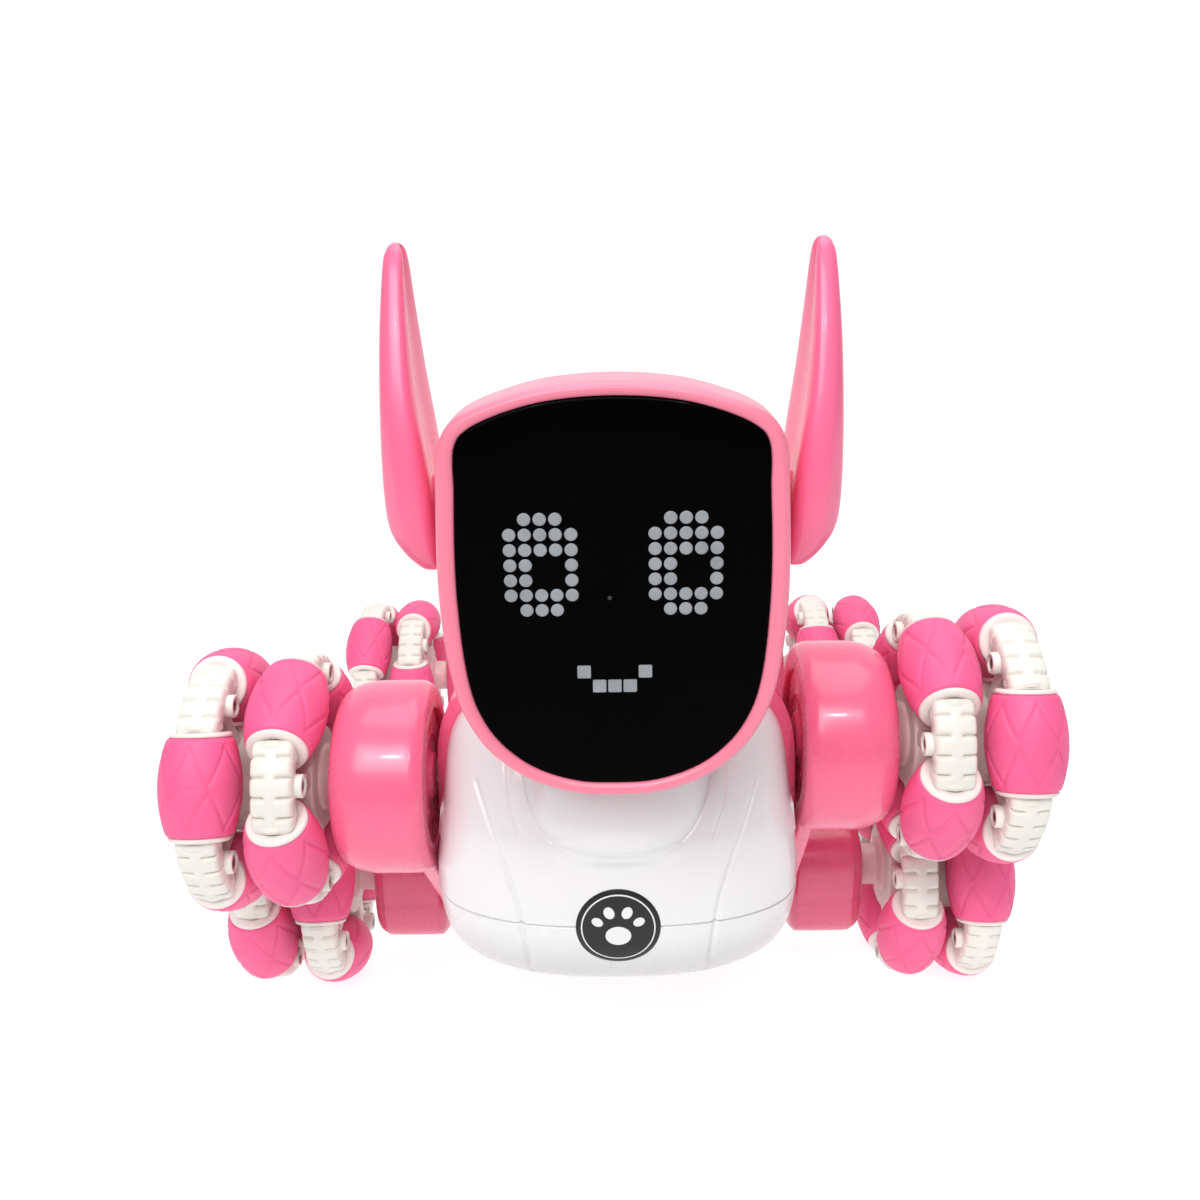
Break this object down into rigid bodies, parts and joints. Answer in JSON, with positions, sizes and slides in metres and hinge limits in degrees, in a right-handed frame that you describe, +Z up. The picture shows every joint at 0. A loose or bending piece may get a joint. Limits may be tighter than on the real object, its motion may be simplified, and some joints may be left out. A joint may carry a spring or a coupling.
{
  "type": "robot dog toy",
  "caption": "Toy robot dog with a shield-shaped display head, upright ears, a two-tone body and swinging front arms, rolling on omni wheels with barrel rollers.",
  "frame": {"origin": "on the ground under the middle of the toy, at the centre of its bounding box in X and Y", "axes": "+Z up; the face looks along -Y; +X is the toy's own left"},
  "size_m": [0.2596, 0.3374, 0.251],
  "materials": {
    "shell_white": "glossy white moulded shell",
    "cover_pink": "glossy pink moulded cover",
    "frame_pink": "satin to gloss pink frame",
    "leg_pink": "glossy pink housing",
    "ear_pink": "glossy pink ear",
    "wheel_ivory": "ivory moulded nylon",
    "roller_rubber": "matte pink rubber with engraved grooves",
    "display_black": "polished black lens",
    "dark_plastic": "dark grey plastic",
    "circuit_board": "green solder mask",
    "neck_white": "white plastic"
  },
  "bodies": {
    "chassis": {"lower_shell": "shell_white", "chest_cover": "shell_white", "back_cover": "cover_pink", "battery_pack": "dark_plastic", "main_board": "circuit_board", "mid_leg_left": "leg_pink", "mid_leg_right": "leg_pink", "rear_leg_left": "leg_pink", "rear_leg_right": "leg_pink"},
    "power_switch": {"power_switch": "dark_plastic"},
    "head": {"neck_post": "neck_white", "head_frame": "frame_pink", "head_back": "cover_pink", "display_lens": "display_black"},
    "ear_left": {"ear_left": "ear_pink"},
    "front_arm_left": {"front_arm_left": "leg_pink"},
    "ear_right": {"ear_right": "ear_pink"},
    "front_arm_right": {"front_arm_right": "leg_pink"},
    "front_left_wheel": {"front_left_wheel": "wheel_ivory"},
    "front_left_outer_roller_1": {"front_left_outer_roller_1": "roller_rubber"},
    "front_left_outer_roller_2": {"front_left_outer_roller_2": "roller_rubber"},
    "front_left_outer_roller_3": {"front_left_outer_roller_3": "roller_rubber"},
    "front_left_outer_roller_4": {"front_left_outer_roller_4": "roller_rubber"},
    "front_left_inner_roller_1": {"front_left_inner_roller_1": "roller_rubber"},
    "front_left_inner_roller_2": {"front_left_inner_roller_2": "roller_rubber"},
    "front_left_inner_roller_3": {"front_left_inner_roller_3": "roller_rubber"},
    "front_left_inner_roller_4": {"front_left_inner_roller_4": "roller_rubber"},
    "front_right_wheel": {"front_right_wheel": "wheel_ivory"},
    "front_right_outer_roller_1": {"front_right_outer_roller_1": "roller_rubber"},
    "front_right_outer_roller_2": {"front_right_outer_roller_2": "roller_rubber"},
    "front_right_outer_roller_3": {"front_right_outer_roller_3": "roller_rubber"},
    "front_right_outer_roller_4": {"front_right_outer_roller_4": "roller_rubber"},
    "front_right_inner_roller_1": {"front_right_inner_roller_1": "roller_rubber"},
    "front_right_inner_roller_2": {"front_right_inner_roller_2": "roller_rubber"},
    "front_right_inner_roller_3": {"front_right_inner_roller_3": "roller_rubber"},
    "front_right_inner_roller_4": {"front_right_inner_roller_4": "roller_rubber"},
    "mid_left_wheel": {"mid_left_wheel": "wheel_ivory"},
    "mid_left_outer_roller_1": {"mid_left_outer_roller_1": "roller_rubber"},
    "mid_left_outer_roller_2": {"mid_left_outer_roller_2": "roller_rubber"},
    "mid_left_outer_roller_3": {"mid_left_outer_roller_3": "roller_rubber"},
    "mid_left_outer_roller_4": {"mid_left_outer_roller_4": "roller_rubber"},
    "mid_left_inner_roller_1": {"mid_left_inner_roller_1": "roller_rubber"},
    "mid_left_inner_roller_2": {"mid_left_inner_roller_2": "roller_rubber"},
    "mid_left_inner_roller_3": {"mid_left_inner_roller_3": "roller_rubber"},
    "mid_left_inner_roller_4": {"mid_left_inner_roller_4": "roller_rubber"},
    "mid_right_wheel": {"mid_right_wheel": "wheel_ivory"},
    "mid_right_outer_roller_1": {"mid_right_outer_roller_1": "roller_rubber"},
    "mid_right_outer_roller_2": {"mid_right_outer_roller_2": "roller_rubber"},
    "mid_right_outer_roller_3": {"mid_right_outer_roller_3": "roller_rubber"},
    "mid_right_outer_roller_4": {"mid_right_outer_roller_4": "roller_rubber"},
    "mid_right_inner_roller_1": {"mid_right_inner_roller_1": "roller_rubber"},
    "mid_right_inner_roller_2": {"mid_right_inner_roller_2": "roller_rubber"},
    "mid_right_inner_roller_3": {"mid_right_inner_roller_3": "roller_rubber"},
    "mid_right_inner_roller_4": {"mid_right_inner_roller_4": "roller_rubber"},
    "rear_left_wheel": {"rear_left_wheel": "wheel_ivory"},
    "rear_right_wheel": {"rear_right_wheel": "wheel_ivory"}
  },
  "joints": [
    {"name": "power_slide", "type": "slide", "parent": "chassis", "child": "power_switch", "axis": [1, 0, 0], "range_m": [0, 0.005]},
    {"name": "head_turn", "type": "hinge", "parent": "chassis", "child": "head", "pos_m": [0, -0.1177, 0.12], "axis": [0, 0, 1], "range_deg": [-35, 35]},
    {"name": "ear_left_swing", "type": "hinge", "parent": "head", "child": "ear_left", "pos_m": [0.0446, -0.1427, 0.1888], "axis": [-1, 0, 0], "range_deg": [-30, 75]},
    {"name": "front_arm_left_swing", "type": "hinge", "parent": "chassis", "child": "front_arm_left", "pos_m": [0.0551, -0.0557, 0.038], "axis": [-1, 0, 0], "range_deg": [-57, 53]},
    {"name": "ear_right_swing", "type": "hinge", "parent": "head", "child": "ear_right", "pos_m": [-0.0446, -0.1427, 0.1888], "axis": [-1, 0, 0], "range_deg": [-30, 75]},
    {"name": "front_arm_right_swing", "type": "hinge", "parent": "chassis", "child": "front_arm_right", "pos_m": [-0.0551, -0.0557, 0.038], "axis": [-1, 0, 0], "range_deg": [-49, 61]},
    {"name": "front_left_wheel_spin", "type": "hinge", "parent": "front_arm_left", "child": "front_left_wheel", "pos_m": [0.1015, -0.10172, 0.10887], "axis": [1, 0, 0], "continuous": true},
    {"name": "front_left_outer_roller_1_spin", "type": "hinge", "parent": "front_left_wheel", "child": "front_left_outer_roller_1", "pos_m": [0.1121, -0.12725, 0.11766], "axis": [0, -0.3256, -0.9455], "continuous": true},
    {"name": "front_left_outer_roller_2_spin", "type": "hinge", "parent": "front_left_wheel", "child": "front_left_outer_roller_2", "pos_m": [0.1121, -0.11051, 0.08334], "axis": [0, 0.9455, -0.3256], "continuous": true},
    {"name": "front_left_outer_roller_3_spin", "type": "hinge", "parent": "front_left_wheel", "child": "front_left_outer_roller_3", "pos_m": [0.1121, -0.07619, 0.10008], "axis": [0, 0.3256, 0.9455], "continuous": true},
    {"name": "front_left_outer_roller_4_spin", "type": "hinge", "parent": "front_left_wheel", "child": "front_left_outer_roller_4", "pos_m": [0.1121, -0.09293, 0.1344], "axis": [0, -0.9455, 0.3256], "continuous": true},
    {"name": "front_left_inner_roller_1_spin", "type": "hinge", "parent": "front_left_wheel", "child": "front_left_inner_roller_1", "pos_m": [0.0909, -0.12599, 0.09703], "axis": [0, 0.4384, -0.8988], "continuous": true},
    {"name": "front_left_inner_roller_2_spin", "type": "hinge", "parent": "front_left_wheel", "child": "front_left_inner_roller_2", "pos_m": [0.0909, -0.08989, 0.0846], "axis": [0, 0.8988, 0.4384], "continuous": true},
    {"name": "front_left_inner_roller_3_spin", "type": "hinge", "parent": "front_left_wheel", "child": "front_left_inner_roller_3", "pos_m": [0.0909, -0.07745, 0.1207], "axis": [0, -0.4384, 0.8988], "continuous": true},
    {"name": "front_left_inner_roller_4_spin", "type": "hinge", "parent": "front_left_wheel", "child": "front_left_inner_roller_4", "pos_m": [0.0909, -0.11356, 0.13314], "axis": [0, -0.8988, -0.4384], "continuous": true},
    {"name": "front_right_wheel_spin", "type": "hinge", "parent": "front_arm_right", "child": "front_right_wheel", "pos_m": [-0.1015, -0.11114, 0.10177], "axis": [1, 0, 0], "continuous": true},
    {"name": "front_right_outer_roller_1_spin", "type": "hinge", "parent": "front_right_wheel", "child": "front_right_outer_roller_1", "pos_m": [-0.1121, -0.13626, 0.11167], "axis": [0, 0.3665, 0.9304], "continuous": true},
    {"name": "front_right_outer_roller_2_spin", "type": "hinge", "parent": "front_right_wheel", "child": "front_right_outer_roller_2", "pos_m": [-0.1121, -0.10124, 0.12689], "axis": [0, 0.9304, -0.3665], "continuous": true},
    {"name": "front_right_outer_roller_3_spin", "type": "hinge", "parent": "front_right_wheel", "child": "front_right_outer_roller_3", "pos_m": [-0.1121, -0.08602, 0.09188], "axis": [0, -0.3665, -0.9304], "continuous": true},
    {"name": "front_right_outer_roller_4_spin", "type": "hinge", "parent": "front_right_wheel", "child": "front_right_outer_roller_4", "pos_m": [-0.1121, -0.12103, 0.07665], "axis": [0, -0.9304, 0.3665], "continuous": true},
    {"name": "front_right_inner_roller_1_spin", "type": "hinge", "parent": "front_right_wheel", "child": "front_right_inner_roller_1", "pos_m": [-0.0909, -0.1219, 0.12653], "axis": [0, 0.9171, 0.3987], "continuous": true},
    {"name": "front_right_inner_roller_2_spin", "type": "hinge", "parent": "front_right_wheel", "child": "front_right_inner_roller_2", "pos_m": [-0.0909, -0.08638, 0.11254], "axis": [0, 0.3987, -0.9171], "continuous": true},
    {"name": "front_right_inner_roller_3_spin", "type": "hinge", "parent": "front_right_wheel", "child": "front_right_inner_roller_3", "pos_m": [-0.0909, -0.10037, 0.07701], "axis": [0, -0.9171, -0.3987], "continuous": true},
    {"name": "front_right_inner_roller_4_spin", "type": "hinge", "parent": "front_right_wheel", "child": "front_right_inner_roller_4", "pos_m": [-0.0909, -0.1359, 0.09101], "axis": [0, -0.3987, 0.9171], "continuous": true},
    {"name": "mid_left_wheel_spin", "type": "hinge", "parent": "chassis", "child": "mid_left_wheel", "pos_m": [0.1087, -0.0557, 0.038], "axis": [1, 0, 0], "continuous": true},
    {"name": "mid_left_outer_roller_1_spin", "type": "hinge", "parent": "mid_left_wheel", "child": "mid_left_outer_roller_1", "pos_m": [0.1193, -0.08091, 0.04768], "axis": [0, -0.3584, -0.9336], "continuous": true},
    {"name": "mid_left_outer_roller_2_spin", "type": "hinge", "parent": "mid_left_wheel", "child": "mid_left_outer_roller_2", "pos_m": [0.1193, -0.06538, 0.01279], "axis": [0, 0.9336, -0.3584], "continuous": true},
    {"name": "mid_left_outer_roller_3_spin", "type": "hinge", "parent": "mid_left_wheel", "child": "mid_left_outer_roller_3", "pos_m": [0.1193, -0.03049, 0.02832], "axis": [0, 0.3584, 0.9336], "continuous": true},
    {"name": "mid_left_outer_roller_4_spin", "type": "hinge", "parent": "mid_left_wheel", "child": "mid_left_outer_roller_4", "pos_m": [0.1193, -0.04602, 0.06321], "axis": [0, -0.9336, 0.3584], "continuous": true},
    {"name": "mid_left_inner_roller_1_spin", "type": "hinge", "parent": "mid_left_wheel", "child": "mid_left_inner_roller_1", "pos_m": [0.0981, -0.08037, 0.02702], "axis": [0, 0.4067, -0.9135], "continuous": true},
    {"name": "mid_left_inner_roller_2_spin", "type": "hinge", "parent": "mid_left_wheel", "child": "mid_left_inner_roller_2", "pos_m": [0.0981, -0.04472, 0.01333], "axis": [0, 0.9135, 0.4067], "continuous": true},
    {"name": "mid_left_inner_roller_3_spin", "type": "hinge", "parent": "mid_left_wheel", "child": "mid_left_inner_roller_3", "pos_m": [0.0981, -0.03103, 0.04898], "axis": [0, -0.4067, 0.9135], "continuous": true},
    {"name": "mid_left_inner_roller_4_spin", "type": "hinge", "parent": "mid_left_wheel", "child": "mid_left_inner_roller_4", "pos_m": [0.0981, -0.06668, 0.06267], "axis": [0, -0.9135, -0.4067], "continuous": true},
    {"name": "mid_right_wheel_spin", "type": "hinge", "parent": "chassis", "child": "mid_right_wheel", "pos_m": [-0.1087, -0.0557, 0.038], "axis": [1, 0, 0], "continuous": true},
    {"name": "mid_right_outer_roller_1_spin", "type": "hinge", "parent": "mid_right_wheel", "child": "mid_right_outer_roller_1", "pos_m": [-0.1193, -0.08107, 0.02876], "axis": [0, -0.342, 0.9397], "continuous": true},
    {"name": "mid_right_outer_roller_2_spin", "type": "hinge", "parent": "mid_right_wheel", "child": "mid_right_outer_roller_2", "pos_m": [-0.1193, -0.06494, 0.06337], "axis": [0, 0.9397, 0.342], "continuous": true},
    {"name": "mid_right_outer_roller_3_spin", "type": "hinge", "parent": "mid_right_wheel", "child": "mid_right_outer_roller_3", "pos_m": [-0.1193, -0.03033, 0.04723], "axis": [0, 0.342, -0.9397], "continuous": true},
    {"name": "mid_right_outer_roller_4_spin", "type": "hinge", "parent": "mid_right_wheel", "child": "mid_right_outer_roller_4", "pos_m": [-0.1193, -0.04646, 0.01263], "axis": [0, -0.9397, -0.342], "continuous": true},
    {"name": "mid_right_inner_roller_1_spin", "type": "hinge", "parent": "mid_right_wheel", "child": "mid_right_inner_roller_1", "pos_m": [-0.0981, -0.08017, 0.04941], "axis": [0, 0.4226, 0.9063], "continuous": true},
    {"name": "mid_right_inner_roller_2_spin", "type": "hinge", "parent": "mid_right_wheel", "child": "mid_right_inner_roller_2", "pos_m": [-0.0981, -0.04429, 0.06247], "axis": [0, 0.9063, -0.4226], "continuous": true},
    {"name": "mid_right_inner_roller_3_spin", "type": "hinge", "parent": "mid_right_wheel", "child": "mid_right_inner_roller_3", "pos_m": [-0.0981, -0.03123, 0.02659], "axis": [0, -0.4226, -0.9063], "continuous": true},
    {"name": "mid_right_inner_roller_4_spin", "type": "hinge", "parent": "mid_right_wheel", "child": "mid_right_inner_roller_4", "pos_m": [-0.0981, -0.06711, 0.01353], "axis": [0, -0.9063, 0.4226], "continuous": true},
    {"name": "rear_left_wheel_spin", "type": "hinge", "parent": "chassis", "child": "rear_left_wheel", "pos_m": [0.1087, 0.1307, 0.038], "axis": [1, 0, 0], "continuous": true},
    {"name": "rear_right_wheel_spin", "type": "hinge", "parent": "chassis", "child": "rear_right_wheel", "pos_m": [-0.1087, 0.1307, 0.038], "axis": [1, 0, 0], "continuous": true}
  ]
}
